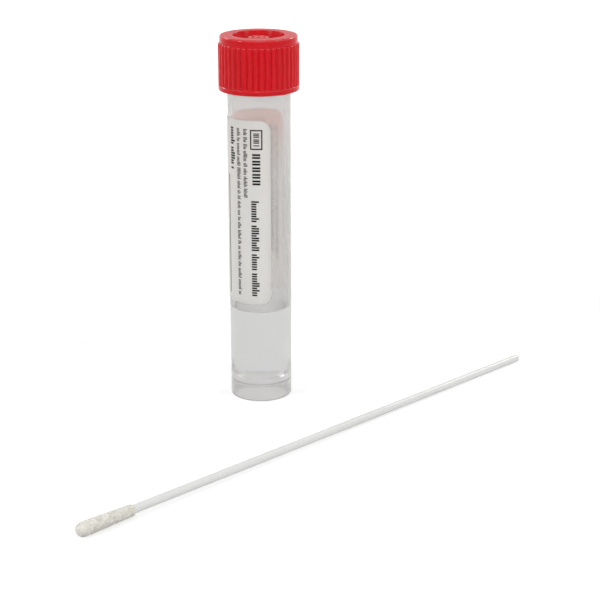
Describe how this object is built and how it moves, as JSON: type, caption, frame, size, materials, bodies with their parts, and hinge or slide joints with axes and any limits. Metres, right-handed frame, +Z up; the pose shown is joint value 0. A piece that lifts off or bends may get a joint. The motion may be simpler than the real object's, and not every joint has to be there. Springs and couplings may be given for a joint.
{
  "type": "specimen swab tube",
  "caption": "Self-standing screw-cap specimen tube with a wrap label and liquid medium, and the collection swab that goes with it.",
  "frame": {"origin": "centre of the tube's foot, on its axis, at table height", "axes": "+Z up along the tube's axis, the swab lies on the table towards -Y, the label faces -Y and -X"},
  "size_m": [0.1162, 0.1086, 0.098],
  "materials": {
    "tube_plastic": "clear to slightly hazy moulded polypropylene",
    "cap_plastic": "moulded red polyethylene, satin gloss",
    "gasket_rubber": "soft white silicone",
    "label_film": "matt white label with dark grey print as plain bars",
    "liquid": "clear water-like liquid",
    "shaft_plastic": "milky moulded plastic rod",
    "tip_fibre": "cream spun fibre, fuzzy"
  },
  "bodies": {
    "tube_and_swab": {"tube": "tube_plastic", "label": "label_film", "medium": "liquid", "swab_shaft": "shaft_plastic", "swab_tip": "tip_fibre"},
    "gasket": {"cap_gasket": "gasket_rubber"},
    "cap": {"cap": "cap_plastic"}
  },
  "joints": [
    {"name": "cap_lift", "type": "slide", "parent": "tube_and_swab", "child": "gasket", "axis": [0, 0, 1], "range_m": [0, 0.009]},
    {"name": "cap_turn", "type": "hinge", "parent": "gasket", "child": "cap", "pos_m": [0, 0, 0.09], "axis": [0, 0, 1], "range_deg": [0, 1080]}
  ],
  "couplings": [
    {"joint": "cap_lift", "follows": "cap_turn", "m_per_rad": 0.00047746}
  ]
}
